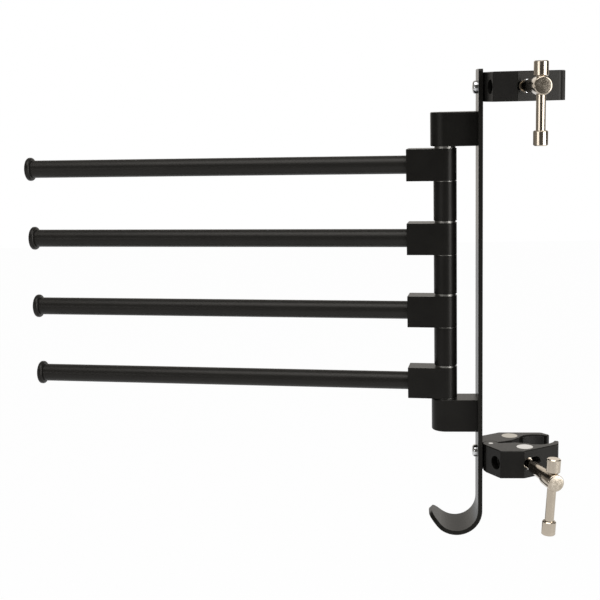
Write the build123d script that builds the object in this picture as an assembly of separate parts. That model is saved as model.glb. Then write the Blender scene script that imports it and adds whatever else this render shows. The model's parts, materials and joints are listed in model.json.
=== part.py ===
from build123d import *
import math
import os

# Clamp-on towel rack. A flat strap carries four swinging arms on a pivot bolt,
# two screw clamps that grip an upright pole, and a hook bent from its foot.
# Sizes are in millimetres and angles in degrees. The corner of the axes is on
# the pole's axis, at the middle height of the lower clamp. X runs from the arms
# to the pole, Y runs to the back and Z runs up.

# Strap and its hook
strap_width = 35.0
strap_thickness = 3.0
strap_above_clamp = 12.0
strap_corner_radius = 2.0
hook_inner_radius = 15.2
hook_centre_drop = 38.8
hook_sweep = 135.0
hook_tip_length = 8.7
hook_corner_radius = 13.5

# Pivot stack
pivot_reach = 21.8
bracket_radius = 10.0
bracket_height = 23.0
bracket_rise = 16.4
bracket_edge_radius = 0.8
knuckle_radius = 8.0
knuckle_space = 22.0
spacer_height = 27.0
washer_radius = 7.3
upper_washer_thickness = 1.5
lower_washer_thickness = 0.5
pivot_radius = 4.0
pivot_grip = 15.0
pivot_head_radius = 6.5
pivot_head_height = 5.0
pivot_socket_radius = 3.0
pivot_socket_depth = 3.0
bush_wall = 1.5

# Arms
arm_count = 4
arm_length = 305.5
arm_swing = 6.0
knuckle_length = 26.0
knuckle_edge_radius = 0.3
tube_radius = 6.35
tube_wall = 1.2
tube_insert = 14.0
cap_flange_radius = 8.5
cap_flange_thickness = 4.0
cap_edge_radius = 1.6
cap_plug_length = 10.0

# Clamps. Both jaws of a clamp have one outline, drawn for the fixed jaw with
# its hinge pin at the corner of the axes and its back face square to X.
clamp_spacing = 255.5
jaw_height = 19.4
jaw_back_reach = 6.0
jaw_back_start = 2.5
jaw_back_length = 18.5
jaw_shoulder_reach = 7.5
jaw_outer_wall = 5.3
jaw_front_reach = 5.0
jaw_corner_radius = 1.0
jaw_front_radius = 4.0
jaw_edge = 0.5
eye_radius = 5.2
ear_height = 5.0
pin_radius = 1.6
barrel_radius = 5.6
barrel_wall = 1.6
barrel_reach = 24.0
barrel_bearing = 53.0
pole_radius = 11.0
pole_reach = 34.0
pad_thickness = 1.2
pad_inset = 1.0
pad_front_angle = 42.0
pad_rear_angle = 126.0
tip_gap = 6.2
tip_wall = 3.2
throat_gap = 6.7
neck_gap = 2.5
neck_reach = 16.6
grip_spread = 72.0
upper_spread = 90.0
closed_spread = 60.0
open_spread = 98.0
slot_length = 14.6
slot_height = 8.6
back_hole_radius = 4.75
back_hole_depth = 8.0
back_hole_offset = 13.0

# Clamp screw and its T-bar. Lengths run outwards from the plain barrel's axis.
rod_radius = 3.0
rod_tail = 10.0
collar_radius = 3.8
collar_thickness = 1.6
collar_seat = 2.4
ring_radius = 3.8
ring_thickness = 1.6
neck_radius = 4.3
neck_start = 17.0
head_start = 38.2
head_length = 14.8
head_radius = 5.7
head_edge_radius = 0.8
bar_radius = 3.0
bar_from_end = 6.0
bar_free_length = 33.0
bar_cap_radius = 4.6
bar_cap_length = 9.4
bar_cap_depth = 6.0
bar_cap_edge = 0.6
lower_bar_lean = -4.0
upper_bar_lean = 0.0

# Screws that hold the brackets and the clamps to the strap
bracket_screw_radius = 2.0
bracket_screw_head = 4.0
bracket_screw_depth = 12.0
bracket_screw_spacing = 11.0
clamp_screw_radius = 2.5
clamp_screw_head = 4.5
clamp_screw_head_height = 3.2
clamp_screw_dome = 2.0
clamp_screw_depth = 9.0
clamp_screw_offset = 14.5
screw_socket_radius = 1.6
screw_socket_depth = 1.4

# Fits
running_clearance = 0.05
swivel_clearance = 0.6
eye_clearance = 0.5
side_clearance = 0.3
face_clearance = 0.05
bolt_clearance = 0.2

# Places that follow from the sizes
quarter_turn = 90.0
grip_bearing = barrel_bearing - grip_spread / 2
seat_radius = pole_radius + pad_thickness
pole_x = pole_reach * math.cos(math.radians(grip_bearing))
pole_y = pole_reach * math.sin(math.radians(grip_bearing))
barrel_x = barrel_reach * math.cos(math.radians(barrel_bearing))
barrel_y = barrel_reach * math.sin(math.radians(barrel_bearing))
jaw_outer_y = max(
    pole_y + seat_radius + jaw_outer_wall,
    barrel_y + barrel_radius + running_clearance + barrel_wall,
)
lug_height = jaw_height - 2 * ear_height - 2 * side_clearance
hinge_x = -pole_x
hinge_y = -pole_y
strap_right = hinge_x - jaw_back_reach
strap_left = strap_right - strap_thickness
strap_y = hinge_y + clamp_screw_offset
strap_top = clamp_spacing + strap_above_clamp
pivot_x = strap_left - pivot_reach
pivot_y = strap_y
arm_stack = lower_washer_thickness + knuckle_space + upper_washer_thickness
arm_pitch = arm_stack + spacer_height
lower_bracket_top = bracket_rise + bracket_height
stack_height = arm_count * arm_stack + (arm_count - 1) * spacer_height
upper_bracket_bottom = lower_bracket_top + stack_height
bush_radius = pivot_radius + running_clearance + bush_wall
tube_bore = tube_radius - tube_wall
bar_place = head_start + head_length - bar_from_end
low_end = (Align.CENTER, Align.CENTER, Align.MIN)


def polar(reach, bearing):
    angle = math.radians(bearing)
    return (reach * math.cos(angle), reach * math.sin(angle))


def disc(radius, bottom, top, x=0.0, y=0.0):
    return Pos(x, y, bottom) * Cylinder(radius, top - bottom, align=low_end)


def bar_along_x(radius, start, end, y=0.0, z=0.0):
    return Pos(start, y, z) * Rot(0, quarter_turn, 0) * Cylinder(radius, end - start, align=low_end)


def block(low, high):
    size = [high[i] - low[i] for i in range(3)]
    middle = [(high[i] + low[i]) / 2 for i in range(3)]
    return Pos(*middle) * Box(*size)


def hex_prism(radius, depth):
    return extrude(RegularPolygon(radius, 6), amount=depth)


def socket_along_x(radius, start, end, y, z):
    return Pos(start, y, z) * Rot(0, quarter_turn, 0) * hex_prism(radius, end - start)


# Strap

def bracket_screw_heights(bottom):
    middle = bottom + bracket_height / 2
    return [middle - bracket_screw_spacing / 2, middle + bracket_screw_spacing / 2]


def strap_side(offset):
    # One face of the strap, seen from the front: down the back, round the hook
    # and up its tip. The offset is measured from the face on the arms' side.
    x = strap_left + offset
    down = Line((x, strap_top), (x, -hook_centre_drop))
    bend = JernArc(down @ 1, down % 1, hook_inner_radius + offset, -hook_sweep)
    heading = bend % 1
    tip = Line(bend @ 1, bend @ 1 + hook_tip_length * heading)
    return down, bend, tip


def make_strap():
    inner = strap_side(0.0)
    outer = strap_side(strap_thickness)
    tip_end = Line(inner[2] @ 1, outer[2] @ 1)
    top_end = Line(inner[0] @ 0, outer[0] @ 0)
    face = Plane.XZ * make_face([*inner, tip_end, *outer, top_end])
    strap = Pos(0, strap_y, 0) * extrude(face, amount=strap_width / 2, both=True)
    tip_middle = tip_end @ 0.5
    for y in (strap_y - strap_width / 2, strap_y + strap_width / 2):
        corner = strap.edges().sort_by_distance(Vector(tip_middle.X, y, tip_middle.Y))[0]
        strap = fillet(corner, hook_corner_radius)
    top_corners = strap.edges().filter_by(Axis.X).group_by(Axis.Z)[-1]
    strap = fillet(top_corners, strap_corner_radius)
    for z in (0.0, clamp_spacing):
        strap -= bar_along_x(clamp_screw_radius + running_clearance, strap_left, strap_right, strap_y, z)
    sink = bracket_screw_head - bracket_screw_radius
    for bottom in (bracket_rise, upper_bracket_bottom):
        for z in bracket_screw_heights(bottom):
            strap -= bar_along_x(bracket_screw_radius + running_clearance, strap_left, strap_right, strap_y, z)
            cone = Cone(bracket_screw_radius, bracket_screw_head, sink, align=low_end)
            strap -= Pos(strap_right - sink, strap_y, z) * Rot(0, quarter_turn, 0) * cone
    return strap


def make_bracket_screw(z):
    sink = bracket_screw_head - bracket_screw_radius
    tip = strap_left - bracket_screw_depth
    shank = bar_along_x(bracket_screw_radius, tip, strap_right - sink, strap_y, z)
    cone = Cone(bracket_screw_radius, bracket_screw_head, sink, align=low_end)
    screw = shank + Pos(strap_right - sink, strap_y, z) * Rot(0, quarter_turn, 0) * cone
    return screw - socket_along_x(screw_socket_radius, strap_right - screw_socket_depth, strap_right, strap_y, z)


def make_clamp_mount_screw(z):
    tip = strap_right + clamp_screw_depth
    head = bar_along_x(clamp_screw_head, strap_left - clamp_screw_head_height, strap_left, strap_y, z)
    rim = head.edges().filter_by(GeomType.CIRCLE).sort_by(Axis.X)[0]
    head = fillet(rim, clamp_screw_dome)
    screw = head + bar_along_x(clamp_screw_radius, strap_left, tip, strap_y, z)
    top = strap_left - clamp_screw_head_height
    return screw - socket_along_x(screw_socket_radius, top, top + screw_socket_depth, strap_y, z)


# Pivot stack

def make_bracket(bottom, is_lower):
    top = bottom + bracket_height
    bracket = disc(bracket_radius, bottom, top, pivot_x, pivot_y)
    bracket += block(
        (pivot_x, pivot_y - bracket_radius, bottom),
        (strap_left, pivot_y + bracket_radius, top),
    )
    rims = bracket.edges().filter_by(GeomType.CIRCLE)
    bracket = fillet(rims, bracket_edge_radius)
    if is_lower:
        bracket -= disc(pivot_radius + running_clearance, bottom, top, pivot_x, pivot_y)
        seat = pivot_head_radius + bolt_clearance
        bracket -= disc(seat, bottom, bottom + pivot_head_height, pivot_x, pivot_y)
    else:
        bracket -= disc(pivot_radius + running_clearance, bottom, bottom + pivot_grip, pivot_x, pivot_y)
    for z in bracket_screw_heights(bottom):
        start = strap_left - bracket_screw_depth
        bracket -= bar_along_x(bracket_screw_radius, start, strap_left, strap_y, z)
    return bracket


def make_pivot_bolt():
    head_top = bracket_rise + pivot_head_height
    head = disc(pivot_head_radius, bracket_rise, head_top, pivot_x, pivot_y)
    shank = disc(pivot_radius, head_top, upper_bracket_bottom + pivot_grip, pivot_x, pivot_y)
    socket = Pos(pivot_x, pivot_y, bracket_rise) * hex_prism(pivot_socket_radius, pivot_socket_depth)
    return head + shank - socket


def sleeve(radius, bore, bottom, top):
    return disc(radius, bottom, top, pivot_x, pivot_y) - disc(bore, bottom, top, pivot_x, pivot_y)


def knuckle_bottom(number):
    steps_up = arm_count - number
    return lower_bracket_top + lower_washer_thickness + steps_up * arm_pitch


# Arms. Each arm is drawn straight out along -X from the pivot, then swung back.

def swing(shape):
    return Pos(pivot_x, pivot_y, 0) * Rot(0, 0, -arm_swing) * shape


def make_knuckle(bottom):
    low = bottom + face_clearance
    high = bottom + knuckle_space - face_clearance
    knuckle = disc(knuckle_radius, low, high)
    knuckle += block((-knuckle_length, -knuckle_radius, low), (0.0, knuckle_radius, high))
    end_edges = knuckle.edges().group_by(Axis.X)[0]
    knuckle = fillet(end_edges, knuckle_edge_radius)
    knuckle -= disc(bush_radius, low, high)
    middle = bottom + knuckle_space / 2
    knuckle -= bar_along_x(tube_radius, -knuckle_length, tube_insert - knuckle_length, 0.0, middle)
    return knuckle


def make_bush(bottom):
    low = bottom + face_clearance
    high = bottom + knuckle_space - face_clearance
    return disc(bush_radius, low, high) - disc(pivot_radius + running_clearance, low, high)


def make_tube(bottom):
    middle = bottom + knuckle_space / 2
    inner = tube_insert - knuckle_length
    outer = cap_flange_thickness - arm_length
    tube = bar_along_x(tube_radius, outer, inner, 0.0, middle)
    return tube - bar_along_x(tube_bore, outer, inner, 0.0, middle)


def make_end_cap(bottom):
    middle = bottom + knuckle_space / 2
    inner = cap_flange_thickness - arm_length
    flange = bar_along_x(cap_flange_radius, -arm_length, inner, 0.0, middle)
    flange = fillet(flange.edges().filter_by(GeomType.CIRCLE), cap_edge_radius)
    return flange + bar_along_x(tube_bore, inner, inner + cap_plug_length, 0.0, middle)


# Jaws

def grip_point(along, across):
    angle = math.radians(grip_bearing)
    x = along * math.cos(angle) - across * math.sin(angle)
    y = along * math.sin(angle) + across * math.cos(angle)
    return (x, y)


def jaw_face():
    tip_angle = math.asin(tip_gap / seat_radius)
    tip_reach = seat_radius * math.cos(tip_angle)
    outer_reach = (seat_radius + tip_wall) * math.cos(tip_angle)
    outer_gap = (seat_radius + tip_wall) * math.sin(tip_angle)
    tip_inner = grip_point(pole_reach + tip_reach, tip_gap)
    tip_outer = grip_point(pole_reach + outer_reach, outer_gap)
    seat_top = grip_point(pole_reach, seat_radius)
    seat_rear = grip_point(pole_reach - math.sqrt(seat_radius ** 2 - throat_gap ** 2), throat_gap)
    neck = grip_point(neck_reach, neck_gap)
    back_corner = (-jaw_back_reach, jaw_back_length)
    shoulder = (jaw_shoulder_reach, jaw_outer_y)
    front_corner = (pole_x + jaw_front_reach, jaw_outer_y)
    back_start = (-jaw_back_reach, jaw_back_start)
    eye_side = (-eye_radius, 0)
    rear = [seat_rear, neck, (0, 0), eye_side, back_start, back_corner]
    front = [shoulder, front_corner, tip_outer, tip_inner]
    walls = Polyline(*rear, *front)
    seat = ThreePointArc(tip_inner, seat_top, seat_rear)
    face = make_face((walls + seat).edges())
    for corner, radius in (
        (back_corner, jaw_corner_radius),
        (shoulder, jaw_corner_radius),
        (front_corner, jaw_front_radius),
        (tip_outer, jaw_corner_radius),
    ):
        vertex = face.vertices().sort_by_distance(Vector(*corner, 0))[0]
        face = fillet(vertex, radius)
    return face


def screw_bearings():
    spreads = (closed_spread, grip_spread, open_spread)
    return [barrel_bearing - spread / 2 + quarter_turn for spread in spreads]


def make_jaw(is_moving):
    half = jaw_height / 2
    lug_half = lug_height / 2
    jaw = Pos(0, 0, -half) * extrude(jaw_face(), amount=jaw_height)
    for flat in (jaw.faces().sort_by(Axis.Z)[0], jaw.faces().sort_by(Axis.Z)[-1]):
        jaw = chamfer(flat.edges(), jaw_edge)
    room = eye_radius + eye_clearance
    if is_moving:
        jaw -= disc(room, -half + ear_height, half - ear_height)
        jaw += disc(eye_radius, -half, -half + ear_height)
        jaw += disc(eye_radius, half - ear_height, half)
        jaw -= disc(pin_radius, -half, half)
    else:
        jaw -= disc(room, -half, -lug_half)
        jaw -= disc(room, lug_half, half)
        jaw += disc(eye_radius, -lug_half, lug_half)
        jaw -= disc(pin_radius + running_clearance, -half, half)
    jaw -= disc(barrel_radius + running_clearance, -half, half, barrel_x, barrel_y)
    slot = extrude(Plane.XZ * SlotOverall(slot_length, slot_height), amount=-barrel_reach)
    jaw -= Pos(barrel_x, barrel_y, 0) * slot
    inward = (ring_radius if is_moving else rod_radius) + swivel_clearance
    for bearing in screw_bearings():
        jaw -= Pos(barrel_x, barrel_y, 0) * Rot(0, 0, bearing) * bar_along_x(inward, -barrel_reach, 0)
    if is_moving:
        back_hole = bar_along_x(back_hole_radius, -jaw_back_reach, back_hole_depth - jaw_back_reach)
        jaw -= Pos(0, back_hole_offset, 0) * back_hole
    else:
        screw_hole = bar_along_x(clamp_screw_radius, -jaw_back_reach, clamp_screw_depth - jaw_back_reach)
        jaw -= Pos(0, clamp_screw_offset, 0) * screw_hole
    return jaw


def make_pad():
    half = jaw_height / 2 - pad_inset
    start = grip_bearing + pad_front_angle
    end = grip_bearing + pad_rear_angle
    arcs = []
    for radius in (pole_radius, seat_radius):
        points = []
        for angle in (start, (start + end) / 2, end):
            dx, dy = polar(radius, angle)
            points.append((pole_x + dx, pole_y + dy))
        arcs.append(points)
    inner, outer = arcs
    edges = [
        ThreePointArc(*inner),
        ThreePointArc(*outer),
        Line(inner[0], outer[0]),
        Line(inner[2], outer[2]),
    ]
    face = make_face(edges)
    return Pos(0, 0, -half) * extrude(face, amount=2 * half)


def make_barrel(has_seat):
    # The plain barrel has a seat sunk into its front, in which the screw's collar runs.
    half = jaw_height / 2 - running_clearance
    barrel = disc(barrel_radius, -half, half)
    barrel -= bar_along_x(rod_radius + running_clearance, -barrel_radius, barrel_radius)
    if has_seat:
        barrel -= bar_along_x(collar_radius + running_clearance, collar_seat, barrel_radius)
    return barrel


def make_screw(spread):
    barrel_gap = 2 * barrel_reach * math.sin(math.radians(spread / 2))
    ring_start = barrel_radius + side_clearance
    collar_start = collar_seat + side_clearance
    screw = bar_along_x(rod_radius, -barrel_gap - rod_tail, neck_start)
    screw += bar_along_x(ring_radius, -ring_start - ring_thickness, -ring_start)
    screw += bar_along_x(collar_radius, collar_start, collar_start + collar_thickness)
    screw += bar_along_x(neck_radius, neck_start, head_start)
    head = bar_along_x(head_radius, head_start, head_start + head_length)
    screw += fillet(head.edges().filter_by(GeomType.CIRCLE), head_edge_radius)
    reach = head_radius + running_clearance
    return screw - disc(bar_radius + running_clearance, -reach, reach, bar_place)


def bar_levels():
    upper = head_radius + running_clearance
    return (upper - bar_free_length, upper)


def make_bar():
    lower, upper = bar_levels()
    return disc(bar_radius, lower - bar_cap_depth, upper + bar_cap_depth, bar_place)


def make_bar_cap(is_upper):
    lower, upper = bar_levels()
    bottom = upper if is_upper else lower - bar_cap_length
    cap = disc(bar_cap_radius, bottom, bottom + bar_cap_length, bar_place)
    cap = chamfer(cap.edges().filter_by(GeomType.CIRCLE), bar_cap_edge)
    hole_bottom = upper if is_upper else lower - bar_cap_depth
    return cap - disc(bar_radius, hole_bottom, hole_bottom + bar_cap_depth, bar_place)


def add_clamp(nodes, name, z, spread, lean):
    middle = barrel_bearing - spread / 2
    place = Pos(hinge_x, hinge_y, z)
    turn = place * Rot(0, 0, 2 * middle)
    outwards = middle - quarter_turn
    plain_x, plain_y = polar(barrel_reach, barrel_bearing - spread)
    nut_place = place * Pos(barrel_x, barrel_y, 0) * Rot(0, 0, outwards)
    screw_place = place * Pos(plain_x, plain_y, 0) * Rot(0, 0, outwards)
    turned = screw_place * Rot(lean, 0, 0)
    half = jaw_height / 2
    nodes[name + "_fixed_jaw"] = place * make_jaw(False)
    nodes[name + "_moving_jaw"] = turn * mirror(make_jaw(True), about=Plane.XZ)
    nodes[name + "_fixed_pad"] = place * make_pad()
    nodes[name + "_moving_pad"] = turn * mirror(make_pad(), about=Plane.XZ)
    nodes[name + "_hinge_pin"] = place * disc(pin_radius, -half, half)
    nodes[name + "_nut_barrel"] = nut_place * make_barrel(False)
    nodes[name + "_plain_barrel"] = screw_place * make_barrel(True)
    nodes[name + "_clamp_screw"] = turned * make_screw(spread)
    nodes[name + "_t_bar"] = turned * make_bar()
    nodes[name + "_t_bar_top_cap"] = turned * make_bar_cap(True)
    nodes[name + "_t_bar_end_cap"] = turned * make_bar_cap(False)
    nodes[name + "_mount_screw"] = make_clamp_mount_screw(z)


def main():
    nodes = {"spine_strap": make_strap()}
    nodes["lower_bracket"] = make_bracket(bracket_rise, True)
    nodes["upper_bracket"] = make_bracket(upper_bracket_bottom, False)
    nodes["pivot_bolt"] = make_pivot_bolt()
    for name, bottom in (("lower", bracket_rise), ("upper", upper_bracket_bottom)):
        for number, z in enumerate(bracket_screw_heights(bottom), 1):
            nodes[name + "_bracket_screw_" + str(number)] = make_bracket_screw(z)
    bore = pivot_radius + bolt_clearance
    for number in range(1, arm_count + 1):
        bottom = knuckle_bottom(number)
        top = bottom + knuckle_space
        arm = "arm_" + str(number)
        nodes[arm + "_lower_washer"] = sleeve(washer_radius, bore, bottom - lower_washer_thickness, bottom)
        nodes[arm + "_upper_washer"] = sleeve(washer_radius, bore, top, top + upper_washer_thickness)
        nodes[arm + "_knuckle"] = swing(make_knuckle(bottom))
        nodes[arm + "_bush"] = swing(make_bush(bottom))
        nodes[arm + "_tube"] = swing(make_tube(bottom))
        nodes[arm + "_end_cap"] = swing(make_end_cap(bottom))
        if number < arm_count:
            spacer_top = bottom - lower_washer_thickness
            spacer = sleeve(knuckle_radius, bore, spacer_top - spacer_height, spacer_top)
            nodes["spacer_" + str(number)] = spacer
    add_clamp(nodes, "lower", 0.0, grip_spread, lower_bar_lean)
    add_clamp(nodes, "upper", clamp_spacing, upper_spread, upper_bar_lean)
    os.makedirs("parts", exist_ok=True)
    for name, shape in nodes.items():
        shape.label = name
        export_step(shape, os.path.join("parts", name + ".step"))


main()
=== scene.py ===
import json
import math
import bpy
from mathutils import Matrix, Vector


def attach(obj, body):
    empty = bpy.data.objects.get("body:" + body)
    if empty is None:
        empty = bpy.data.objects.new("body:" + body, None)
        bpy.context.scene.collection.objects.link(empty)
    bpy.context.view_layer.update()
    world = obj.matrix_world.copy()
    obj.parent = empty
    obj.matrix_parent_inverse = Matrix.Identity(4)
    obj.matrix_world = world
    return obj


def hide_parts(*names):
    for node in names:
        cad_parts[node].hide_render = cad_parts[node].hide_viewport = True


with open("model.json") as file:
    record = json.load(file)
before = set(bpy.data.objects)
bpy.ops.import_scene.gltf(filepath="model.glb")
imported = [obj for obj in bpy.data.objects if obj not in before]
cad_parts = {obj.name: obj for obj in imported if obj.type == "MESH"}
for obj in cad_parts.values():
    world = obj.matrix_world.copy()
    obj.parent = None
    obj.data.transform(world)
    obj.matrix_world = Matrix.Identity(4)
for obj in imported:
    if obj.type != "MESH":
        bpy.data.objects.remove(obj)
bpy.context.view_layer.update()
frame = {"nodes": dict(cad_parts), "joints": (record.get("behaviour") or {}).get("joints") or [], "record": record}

print("frame loaded:", len(frame["nodes"]), "nodes")


# finishes
noiseSpan = (0.3, 0.7)  # most of a noise texture's values lie in here
grainDetail = {"cloud": 3, "peel": 2, "smear": 4, "lines": 2}
warmGloss = (1.0, 0.965, 0.91)


def startFinish(name):
    mat = bpy.data.materials.new(name)
    mat.use_nodes = True
    tree = mat.node_tree
    tree.nodes.clear()
    out = tree.nodes.new("ShaderNodeOutputMaterial")
    shader = tree.nodes.new("ShaderNodeBsdfPrincipled")
    tree.links.new(shader.outputs["BSDF"], out.inputs["Surface"])
    coords = tree.nodes.new("ShaderNodeTexCoord")
    return mat, tree, shader, coords


def grainNoise(tree, coords, scale, detail, stretch=(1, 1, 1)):
    mapping = tree.nodes.new("ShaderNodeMapping")
    mapping.inputs["Scale"].default_value = stretch
    noise = tree.nodes.new("ShaderNodeTexNoise")
    noise.inputs["Scale"].default_value = scale
    noise.inputs["Detail"].default_value = detail
    tree.links.new(coords.outputs["Object"], mapping.inputs["Vector"])
    tree.links.new(mapping.outputs["Vector"], noise.inputs["Vector"])
    return noise.outputs["Fac"]


def blendColours(tree, fac, dark, light):
    ramp = tree.nodes.new("ShaderNodeValToRGB")
    for stop, position, colour in zip(ramp.color_ramp.elements, noiseSpan, (dark, light)):
        stop.position = position
        stop.color = (*colour, 1)
    tree.links.new(fac, ramp.inputs["Fac"])
    return ramp.outputs["Color"]


def spread(tree, fac, low, high):
    span = tree.nodes.new("ShaderNodeMapRange")
    span.inputs["From Min"].default_value = noiseSpan[0]
    span.inputs["From Max"].default_value = noiseSpan[1]
    span.inputs["To Min"].default_value = low
    span.inputs["To Max"].default_value = high
    tree.links.new(fac, span.inputs["Value"])
    return span.outputs["Result"]


def addBump(tree, shader, fac, strength, depth):
    bump = tree.nodes.new("ShaderNodeBump")
    bump.inputs["Strength"].default_value = strength
    bump.inputs["Distance"].default_value = depth
    tree.links.new(fac, bump.inputs["Height"])
    tree.links.new(bump.outputs["Normal"], shader.inputs["Normal"])


# coated, anodised and moulded pieces: cloudy tone, fine orange peel
def coatedFinish(name, look):
    mat, tree, shader, coords = startFinish(name)
    cloud = grainNoise(tree, coords, look["cloudScale"], grainDetail["cloud"])
    peel = grainNoise(tree, coords, look["peelScale"], grainDetail["peel"])
    tone = blendColours(tree, cloud, look["dark"], look["light"])
    tree.links.new(tone, shader.inputs["Base Color"])
    tree.links.new(spread(tree, peel, *look["roughness"]), shader.inputs["Roughness"])
    shader.inputs["Metallic"].default_value = look["metallic"]
    shader.inputs["Specular IOR Level"].default_value = look["specular"]
    shader.inputs["Specular Tint"].default_value = (*warmGloss, 1)
    addBump(tree, shader, peel, look["peelStrength"], look["peelDepth"])
    return mat


# bright plated metal: faint turned lines and soft smears
def platedFinish(name, look):
    mat, tree, shader, coords = startFinish(name)
    smear = grainNoise(tree, coords, look["smearScale"], grainDetail["smear"])
    lines = grainNoise(tree, coords, look["lineScale"], grainDetail["lines"], look["lineStretch"])
    tone = blendColours(tree, smear, look["dark"], look["light"])
    tree.links.new(tone, shader.inputs["Base Color"])
    tree.links.new(spread(tree, smear, *look["roughness"]), shader.inputs["Roughness"])
    shader.inputs["Metallic"].default_value = 1.0
    addBump(tree, shader, lines, look["lineStrength"], look["lineDepth"])
    return mat


strapLook = {"dark": (0.0075, 0.007, 0.0062), "light": (0.011, 0.0104, 0.0092), "roughness": (0.26, 0.33),
             "metallic": 0.0, "specular": 0.125, "cloudScale": 40,
             "peelScale": 1500, "peelStrength": 0.13, "peelDepth": 0.00008}
tubeLook = {"dark": (0.006, 0.0056, 0.005), "light": (0.0085, 0.008, 0.007), "roughness": (0.36, 0.46),
            "metallic": 0.0, "specular": 0.28, "cloudScale": 35,
            "peelScale": 1800, "peelStrength": 0.1, "peelDepth": 0.00006}
blockLook = {"dark": (0.005, 0.0047, 0.0042), "light": (0.0075, 0.0071, 0.0063), "roughness": (0.3, 0.38),
             "metallic": 0.0, "specular": 0.19, "cloudScale": 60,
             "peelScale": 2600, "peelStrength": 0.12, "peelDepth": 0.00005}
jawLook = {"dark": (0.006, 0.0057, 0.0052), "light": (0.009, 0.0086, 0.0078), "roughness": (0.3, 0.38),
           "metallic": 0.0, "specular": 0.19, "cloudScale": 70,
           "peelScale": 2200, "peelStrength": 0.15, "peelDepth": 0.00006}
capLook = {"dark": (0.006, 0.0056, 0.005), "light": (0.0085, 0.008, 0.0072), "roughness": (0.3, 0.4),
           "metallic": 0.0, "specular": 0.26, "cloudScale": 90,
           "peelScale": 1200, "peelStrength": 0.08, "peelDepth": 0.00005}
rubberLook = {"dark": (0.011, 0.0108, 0.0104), "light": (0.018, 0.0176, 0.017), "roughness": (0.6, 0.75),
              "metallic": 0.0, "specular": 0.35, "cloudScale": 120,
              "peelScale": 3000, "peelStrength": 0.3, "peelDepth": 0.0001}
nylonLook = {"dark": (0.55, 0.54, 0.5), "light": (0.66, 0.65, 0.61), "roughness": (0.4, 0.5),
             "metallic": 0.0, "specular": 0.5, "cloudScale": 80,
             "peelScale": 1500, "peelStrength": 0.08, "peelDepth": 0.00005}
oxideLook = {"dark": (0.03, 0.03, 0.03), "light": (0.05, 0.05, 0.05), "roughness": (0.38, 0.5),
             "metallic": 0.8, "specular": 0.5, "cloudScale": 90,
             "peelScale": 2000, "peelStrength": 0.1, "peelDepth": 0.00005}
nickelLook = {"dark": (0.5, 0.435, 0.355), "light": (0.58, 0.51, 0.42), "roughness": (0.12, 0.18),
              "smearScale": 55, "lineScale": 900, "lineStretch": (1, 1, 6),
              "lineStrength": 0.02, "lineDepth": 0.00002}
endLook = {"dark": (0.45, 0.39, 0.31), "light": (0.6, 0.53, 0.44), "roughness": (0.17, 0.27),
           "smearScale": 420, "lineScale": 700, "lineStretch": (1, 1, 1),
           "lineStrength": 0.12, "lineDepth": 0.00005}
# darker, warmer steel for the nut barrels: painted shade, a shaded copy of the pale steel
shadedNutLook = {"dark": (0.47, 0.45, 0.4), "light": (0.55, 0.53, 0.48), "roughness": (0.2, 0.3),
           "smearScale": 70, "lineScale": 1200, "lineStretch": (1, 1, 5),
           "lineStrength": 0.05, "lineDepth": 0.00003}
steelLook = {"dark": (0.65, 0.65, 0.65), "light": (0.76, 0.77, 0.78), "roughness": (0.16, 0.26),
             "smearScale": 70, "lineScale": 1200, "lineStretch": (1, 1, 5),
             "lineStrength": 0.05, "lineDepth": 0.00003}
washerLook = {"dark": (0.22, 0.215, 0.2), "light": (0.32, 0.31, 0.29), "roughness": (0.3, 0.42),
              "smearScale": 120, "lineScale": 1500, "lineStretch": (1, 1, 4),
              "lineStrength": 0.1, "lineDepth": 0.00004}

finishOf = {
    "black_strap": coatedFinish("satinBlackStrap", strapLook),
    "black_tube": coatedFinish("satinBlackTube", tubeLook),
    "black_block": coatedFinish("anodisedBlackBlock", blockLook),
    "black_jaw": coatedFinish("anodisedBlackJaw", jawLook),
    "black_plastic": coatedFinish("mouldedBlackCap", capLook),
    "rubber": coatedFinish("jawRubber", rubberLook),
    "nylon": coatedFinish("paleNylon", nylonLook),
    "dark_steel": coatedFinish("blackOxideSteel", oxideLook),
    "nickel": platedFinish("brightNickel", nickelLook),
    "brushed_end": platedFinish("brushedNickelEnd", endLook),
    "pale_steel": platedFinish("paleSteel", steelLook),
    "shaded_nut_steel": platedFinish("nutSteelPaintedShade", shadedNutLook),
    "washer_steel": platedFinish("satinWasher", washerLook),
}
slotOfNode = {row["node"]: row["material_slot"] for row in frame["record"]["subparts"]}
# the nut barrels take the darker steel, which is painted shade
clampFinish = {"nut_barrel": "shaded_nut_steel", "hinge_pin": "pale_steel"}  # apart from their slot's finish
for nodeName, nodeObject in frame["nodes"].items():
    pieceOfClamp = nodeName.split("_", 1)[1]  # without lower_ or upper_
    nodeObject.data.materials.clear()
    nodeObject.data.materials.append(finishOf[clampFinish.get(pieceOfClamp, slotOfNode[nodeName])])
print("finishes set on", len(frame["nodes"]), "nodes")


# modelling helpers
samePlace = 1e-6  # one micron
cutTolerance = 1e-7
smoothAngle = math.radians(32)


def clearSelection():
    if bpy.context.mode != "OBJECT":
        bpy.ops.object.mode_set(mode="OBJECT")
    bpy.ops.object.select_all(action="DESELECT")


def selectOnly(piece):
    clearSelection()
    bpy.context.view_layer.objects.active = piece
    piece.select_set(True)


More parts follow.
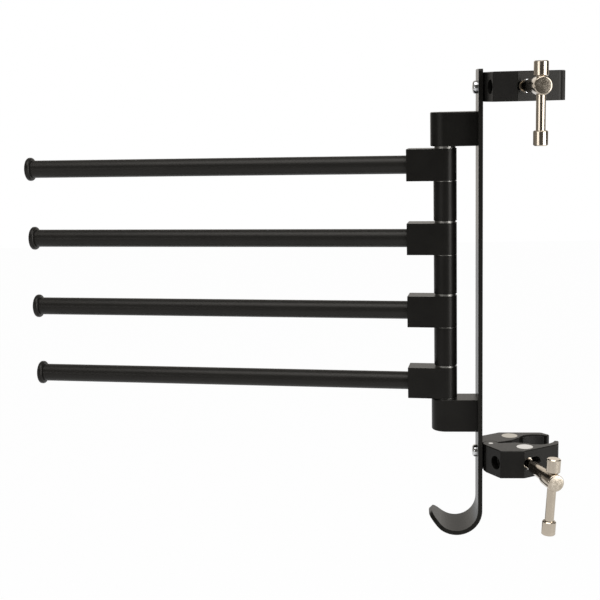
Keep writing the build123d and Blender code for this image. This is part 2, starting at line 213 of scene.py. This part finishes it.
# a round bar along Z: each step gives a height and a radius
def turnedBar(name, steps, corners):
    clearSelection()
    (height, radius), rest = steps[0], steps[1:]
    bpy.ops.mesh.primitive_circle_add(vertices=corners, radius=radius, fill_type="NGON",
                                      location=(0, 0, height))
    bar = bpy.context.active_object
    bar.name = name
    bpy.ops.object.transform_apply(location=True, rotation=True, scale=True)
    bpy.ops.object.mode_set(mode="EDIT")
    bpy.ops.mesh.select_mode(type="FACE")
    bpy.ops.mesh.select_all(action="SELECT")
    for nextHeight, nextRadius in rest:
        bpy.ops.mesh.extrude_region_move(TRANSFORM_OT_translate={"value": (0, 0, nextHeight - height)})
        grow = nextRadius / radius
        bpy.ops.transform.resize(value=(grow, grow, 1), center_override=(0, 0, nextHeight))
        height, radius = nextHeight, nextRadius
    bpy.ops.mesh.select_all(action="SELECT")
    bpy.ops.mesh.normals_make_consistent(inside=False)
    bpy.ops.object.mode_set(mode="OBJECT")
    return bar


# rounds the rims that lie at the given heights and radius
def roundRims(bar, heights, radius, width, segments):
    selectOnly(bar)
    bpy.ops.object.mode_set(mode="EDIT")
    bpy.ops.mesh.select_mode(type="EDGE")
    bpy.ops.mesh.select_all(action="DESELECT")
    bpy.ops.object.mode_set(mode="OBJECT")
    points = bar.data.vertices
    for edge in bar.data.edges:
        ends = [points[i].co for i in edge.vertices]
        onRim = all(abs(math.hypot(co.x, co.y) - radius) < samePlace for co in ends)
        edge.select = onRim and any(all(abs(co.z - height) < samePlace for co in ends) for height in heights)
    bpy.ops.object.mode_set(mode="EDIT")
    bpy.ops.mesh.bevel(offset=width, segments=segments, affect="EDGES")
    bpy.ops.object.mode_set(mode="OBJECT")


# one pitch of the thread's outline is wound up the axis, then cut square at both ends
def threadedLength(name, low, high, look):
    clearSelection()
    spareTurns = 2
    halfStep = 0.5 / look["threadSteps"]  # so that no corner lies on a cut
    start = low - (spareTurns + halfStep) * look["pitch"]
    bpy.ops.mesh.primitive_plane_add(size=look["pitch"], location=(look["core"], 0, start))
    thread = bpy.context.active_object
    thread.name = name
    bpy.ops.object.transform_apply(location=True, rotation=True, scale=True)
    bpy.ops.object.mode_set(mode="EDIT")
    bpy.ops.mesh.select_mode(type="VERT")
    bpy.ops.mesh.select_all(action="SELECT")
    bpy.ops.mesh.merge(type="CENTER")
    depth = look["rod"] - look["core"]
    outline = ((0, 0, look["rootFlat"]), (depth, 0, look["flank"]),
               (0, 0, look["crestFlat"]), (-depth, 0, look["flank"]))
    for move in outline:
        bpy.ops.mesh.extrude_region_move(TRANSFORM_OT_translate={"value": move})
    bpy.ops.object.mode_set(mode="OBJECT")
    winding = thread.modifiers.new("winding", "SCREW")
    winding.axis = "Z"
    winding.angle = 2 * math.pi
    winding.screw_offset = look["pitch"]
    winding.iterations = math.ceil((high - start) / look["pitch"]) + spareTurns
    winding.steps = look["threadSteps"]
    winding.render_steps = look["threadSteps"]
    bpy.ops.object.modifier_apply(modifier="winding")
    bpy.ops.object.mode_set(mode="EDIT")
    bpy.ops.mesh.select_all(action="SELECT")
    bpy.ops.mesh.remove_doubles(threshold=samePlace)
    for height, above in ((low, False), (high, True)):
        bpy.ops.mesh.select_all(action="SELECT")
        bpy.ops.mesh.bisect(plane_co=(0, 0, height), plane_no=(0, 0, 1), use_fill=True,
                            threshold=cutTolerance, clear_inner=not above, clear_outer=above)
    bpy.ops.mesh.select_all(action="SELECT")
    bpy.ops.mesh.normals_make_consistent(inside=False)
    bpy.ops.object.mode_set(mode="OBJECT")
    return thread


def combine(piece, tool, operation):
    selectOnly(piece)
    cut = piece.modifiers.new("combine", "BOOLEAN")
    cut.operation = operation
    cut.solver = "EXACT"
    cut.object = tool
    bpy.ops.object.modifier_apply(modifier="combine")
    bpy.data.objects.remove(tool)


# turns a piece made along Z to its axes, and leaves the place in its mesh
def settle(piece, centre, axes):
    piece.matrix_world = Matrix.Translation(centre) @ Matrix(axes).transposed().to_4x4()
    selectOnly(piece)
    bpy.ops.object.transform_apply(location=True, rotation=True, scale=True)
    bpy.ops.object.shade_smooth_by_angle(angle=smoothAngle)


# clamp screws: threaded rod, two collars either side of a plain journal, plain rod, neck, cross-drilled head
screwShape = {"rod": 0.003, "core": 0.00238, "pitch": 0.001, "threadSteps": 36,
              "rootFlat": 0.00025, "flank": 0.0003, "crestFlat": 0.00015,
              "point": 0.0016, "pointTaper": 0.0006,
              "collar": 0.0038, "ring": (-0.0075, -0.0059), "flange": (0.0027, 0.0043),
              "collarEdge": 0.00025, "collarEdgeSteps": 2,
              "neck": 0.0043, "neckStart": 0.017, "neckEdge": 0.0004, "neckEdgeSteps": 3,
              "head": 0.0057, "headLength": 0.0148, "headEdge": 0.0008, "headEdgeSteps": 5,
              "hole": 0.00305, "holeFromEnd": 0.006, "holeFlare": 0.0008,
              "inset": 0.00025, "endSlope": 0.999, "corners": 64}


def clampScrew(side, look):
    joints = {joint["name"]: joint for joint in frame["joints"]}
    centre = Vector(joints[side + "_screw_turn"]["pos_m"])
    outward = Vector(joints[side + "_screw_turn"]["axis"]).normalized()
    barWay = Vector(joints[side + "_t_bar_slide"]["axis"]).normalized()
    corners = frame["nodes"][side + "_clamp_screw"].data.vertices
    reach = [(corner.co - centre).dot(outward) for corner in corners]
    tail, tip = min(reach), max(reach)
    headStart = tip - look["headLength"]
    (ringLow, ringHigh), (flangeLow, flangeHigh) = look["ring"], look["flange"]
    rod, collar, neck, head = (look[key] for key in ("rod", "collar", "neck", "head"))
    point = look["core"] - look["inset"]
    screw = turnedBar(side + "ClampScrew", [
        (tail, point - look["pointTaper"]), (tail + look["pointTaper"], point), (ringLow, point),
        (ringLow, collar), (ringHigh, collar), (ringHigh, rod),
        (flangeLow, rod), (flangeLow, collar), (flangeHigh, collar), (flangeHigh, rod),
        (look["neckStart"], rod), (look["neckStart"], neck),
        (headStart, neck), (headStart, head), (tip, head)], look["corners"])
    roundRims(screw, (headStart, tip), head, look["headEdge"], look["headEdgeSteps"])
    roundRims(screw, (look["neckStart"],), neck, look["neckEdge"], look["neckEdgeSteps"])
    roundRims(screw, (*look["ring"], *look["flange"]), collar, look["collarEdge"], look["collarEdgeSteps"])
    threadStart, ringMiddle = tail + look["point"], (ringLow + ringHigh) / 2
    combine(screw, threadedLength(side + "Thread", threadStart, ringMiddle, look), "UNION")
    inner, outer = head - look["holeFlare"], head + look["holeFlare"]
    hole, mouth = look["hole"], look["hole"] + 2 * look["holeFlare"]
    drill = turnedBar(side + "Drill", [(-outer, mouth), (-inner, hole), (inner, hole), (outer, mouth)],
                      look["corners"])
    holePlace = (0, 0, tip - look["holeFromEnd"])
    drill.matrix_world = Matrix.Translation(holePlace) @ Matrix.Rotation(math.pi / 2, 4, "X")
    combine(screw, drill, "DIFFERENCE")
    screw.data.materials.append(finishOf["nickel"])
    screw.data.materials.append(finishOf["brushed_end"])
    for face in screw.data.polygons:
        onEnd = face.normal.z > look["endSlope"] and face.center.z > tip - look["inset"]
        face.material_index = 1 if onEnd else 0
    settle(screw, centre, (barWay.cross(outward), barWay, outward))
    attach(screw, side + "_screw")
    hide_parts(side + "_clamp_screw")


for side in ("lower", "upper"):
    clampScrew(side, screwShape)
print("clamp screws threaded")


# thread in the hole at the back of each moving jaw
holeShape = {"rod": 0.00474, "core": 0.0041, "pitch": 0.0015, "threadSteps": 42,
             "rootFlat": 0.0002, "flank": 0.00055, "crestFlat": 0.0002,
             "mouth": 0.0006, "corners": 60}


def backThread(side, look):
    mount = {row["name"]: row for row in frame["record"]["mounts"]}[side + "_back_thread"]
    outward = Vector(mount["axis"]).normalized()
    sideways = Vector((0, 0, 1)).cross(outward)
    depth = mount["dims"]["length_mm"] / 1000
    sleeve = turnedBar(side + "BackThread", [(-depth, look["rod"]), (-look["mouth"], look["rod"])],
                       look["corners"])
    tap = threadedLength(side + "Tap", -2 * depth, depth, look)  # longer than the sleeve at both ends
    combine(sleeve, tap, "DIFFERENCE")
    sleeve.data.materials.append(finishOf["black_jaw"])
    settle(sleeve, mount["pos_m"], (sideways, outward.cross(sideways), outward))
    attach(sleeve, side + "_moving_jaw")


for side in ("lower", "upper"):
    backThread(side, holeShape)
print("rear holes threaded")


# camera at the photograph's angle
cameraSetup = {"place": (-0.08764, -0.82759, 0.25560), "yaw": 5.351, "pitch": 9.874, "roll": -1.414,
               "focalPixels": 1198.4, "imagePixels": 600, "sensor": 36.0, "nearest": 0.01}
yaw, pitch, roll = (math.radians(cameraSetup[key]) for key in ("yaw", "pitch", "roll"))
ahead = Vector((-math.sin(yaw) * math.cos(pitch), math.cos(yaw) * math.cos(pitch), -math.sin(pitch)))
level = Vector((math.cos(yaw), math.sin(yaw), 0))
upright = level.cross(ahead)
across = math.cos(roll) * level + math.sin(roll) * upright
upwards = -math.sin(roll) * level + math.cos(roll) * upright
cameraData = bpy.data.cameras.new("rackCamera")
cameraData.sensor_width = cameraSetup["sensor"]
cameraData.lens = cameraSetup["focalPixels"] * cameraSetup["sensor"] / cameraSetup["imagePixels"]
cameraData.clip_start = cameraSetup["nearest"]
camera = bpy.data.objects.new("rackCamera", cameraData)
turned = Matrix((across, upwards, -ahead)).transposed().to_4x4()
camera.matrix_world = Matrix.Translation(cameraSetup["place"]) @ turned
bpy.context.collection.objects.link(camera)
bpy.context.scene.camera = camera
print("camera placed")


# floor, room and soft lamps
floorLook = {"height": -0.32, "size": 5.5, "middle": (1.0, 0.95),
             "colour": (0.86, 0.86, 0.86), "roughness": 0.7,
             "glowShare": 0.98, "mirrored": 0.88}  # the share without glow keeps the shadow
roomLook = {"level": 0.3, "dim": 0.1, "warmth": (1.0, 0.955, 0.89)}
roomWalls = [
    {"axis": "Y", "from": 0.62, "to": 0.96, "level": 1.0},
    {"axis": "Z", "from": 0.4, "to": 0.8, "level": 0.4},
    {"axis": "X", "from": -0.5, "to": -0.9, "level": 0.27},
]
white = (1, 1, 1, 1)


def brighter(tree, first, second):
    pick = tree.nodes.new("ShaderNodeMath")
    pick.operation = "MAXIMUM"
    tree.links.new(first, pick.inputs[0])
    tree.links.new(second, pick.inputs[1])
    return pick.outputs["Value"]


# rays that show the white background itself: straight to the eye, mirrored in metal, or through glass
def backgroundRays(tree):
    path = tree.nodes.new("ShaderNodeLightPath")
    byEye = path.outputs["Is Camera Ray"]
    seen = byEye
    for ray in ("Is Glossy Ray", "Is Transmission Ray"):
        seen = brighter(tree, seen, path.outputs[ray])
    return seen, byEye


clearSelection()
bpy.ops.mesh.primitive_plane_add(size=floorLook["size"], location=(*floorLook["middle"], floorLook["height"]))
floor = bpy.context.active_object
floor.name = "paleFloor"
floorMat = bpy.data.materials.new("paleFloor")
floorMat.use_nodes = True
floorTree = floorMat.node_tree
floorShader = floorTree.nodes["Principled BSDF"]
floorShader.inputs["Base Color"].default_value = (*floorLook["colour"], 1)
floorShader.inputs["Roughness"].default_value = floorLook["roughness"]
floorSeen, floorByEye = backgroundRays(floorTree)
glow = floorTree.nodes.new("ShaderNodeEmission")
glow.inputs["Color"].default_value = white
glowLevel = floorTree.nodes.new("ShaderNodeMapRange")  # a little dimmer in reflections than to the eye
glowLevel.inputs["To Min"].default_value = floorLook["mirrored"]
floorTree.links.new(floorByEye, glowLevel.inputs["Value"])
floorTree.links.new(glowLevel.outputs["Result"], glow.inputs["Strength"])
glowShare = floorTree.nodes.new("ShaderNodeMath")
glowShare.operation = "MULTIPLY"
glowShare.inputs[1].default_value = floorLook["glowShare"]
floorTree.links.new(floorSeen, glowShare.inputs[0])
mixFloor = floorTree.nodes.new("ShaderNodeMixShader")
floorTree.links.new(glowShare.outputs["Value"], mixFloor.inputs["Fac"])
floorTree.links.new(floorShader.outputs["BSDF"], mixFloor.inputs[1])
floorTree.links.new(glow.outputs["Emission"], mixFloor.inputs[2])
floorTree.links.new(mixFloor.outputs["Shader"], floorTree.nodes["Material Output"].inputs["Surface"])
floor.data.materials.append(floorMat)

world = bpy.data.worlds.new("softStudio")
bpy.context.scene.world = world
world.use_nodes = True
worldTree = world.node_tree
worldTree.nodes.clear()
worldOut = worldTree.nodes.new("ShaderNodeOutputWorld")
roomLight = worldTree.nodes.new("ShaderNodeBackground")
roomLight.inputs["Color"].default_value = white
roomLight.inputs["Strength"].default_value = roomLook["level"]
direction = worldTree.nodes.new("ShaderNodeTexCoord")
rayAxes = worldTree.nodes.new("ShaderNodeSeparateXYZ")
worldTree.links.new(direction.outputs["Generated"], rayAxes.inputs["Vector"])


# a soft step along one axis of the ray: dim on one side, bright on the other
def wallTone(wall):
    step = worldTree.nodes.new("ShaderNodeMapRange")
    step.interpolation_type = "SMOOTHSTEP"
    step.inputs["From Min"].default_value = wall["from"]
    step.inputs["From Max"].default_value = wall["to"]
    step.inputs["To Min"].default_value = roomLook["dim"]
    step.inputs["To Max"].default_value = wall["level"]
    worldTree.links.new(rayAxes.outputs[wall["axis"]], step.inputs["Value"])
    return step.outputs["Result"]


roomSeen, roomByEye = backgroundRays(worldTree)
roomTone = roomByEye  # white to the eye, shaded and warm in reflections
for wall in roomWalls:
    roomTone = brighter(worldTree, roomTone, wallTone(wall))
tint = worldTree.nodes.new("ShaderNodeMix")
tint.data_type = "RGBA"
tint.inputs["A"].default_value = (*roomLook["warmth"], 1)
tint.inputs["B"].default_value = white
worldTree.links.new(roomByEye, tint.inputs["Factor"])
backdrop = worldTree.nodes.new("ShaderNodeBackground")
worldTree.links.new(tint.outputs["Result"], backdrop.inputs["Color"])
worldTree.links.new(roomTone, backdrop.inputs["Strength"])
mixWorld = worldTree.nodes.new("ShaderNodeMixShader")
worldTree.links.new(roomSeen, mixWorld.inputs["Fac"])
worldTree.links.new(roomLight.outputs["Background"], mixWorld.inputs[1])
worldTree.links.new(backdrop.outputs["Background"], mixWorld.inputs[2])
worldTree.links.new(mixWorld.outputs["Shader"], worldOut.inputs["Surface"])

lampSetups = [
    {"name": "topSoftbox", "place": (-0.2, -0.55, 1.5), "aim": (-0.15, 0, 0.1),
     "size": (1.4, 0.95), "power": 14},
    {"name": "leftPanel", "place": (-0.94, -1.0, 0.22), "aim": (-0.02, -0.05, 0.24),
     "size": (0.75, 0.24), "power": 1.3},
    {"name": "rightSoftbox", "place": (1.05, -0.76, 0.4), "aim": (0, -0.05, 0.15),
     "size": (0.95, 1.4), "power": 19.4},
]
for setup in lampSetups:
    lampData = bpy.data.lights.new(setup["name"], "AREA")
    lampData.shape = "RECTANGLE"
    lampData.size, lampData.size_y = setup["size"]
    lampData.energy = setup["power"]
    lamp = bpy.data.objects.new(setup["name"], lampData)
    towards = Vector(setup["aim"]) - Vector(setup["place"])
    facing = towards.to_track_quat("-Z", "Y").to_matrix().to_4x4()
    lamp.matrix_world = Matrix.Translation(setup["place"]) @ facing
    bpy.context.collection.objects.link(lamp)
bpy.context.scene.view_settings.view_transform = "Standard"
print("studio ready")
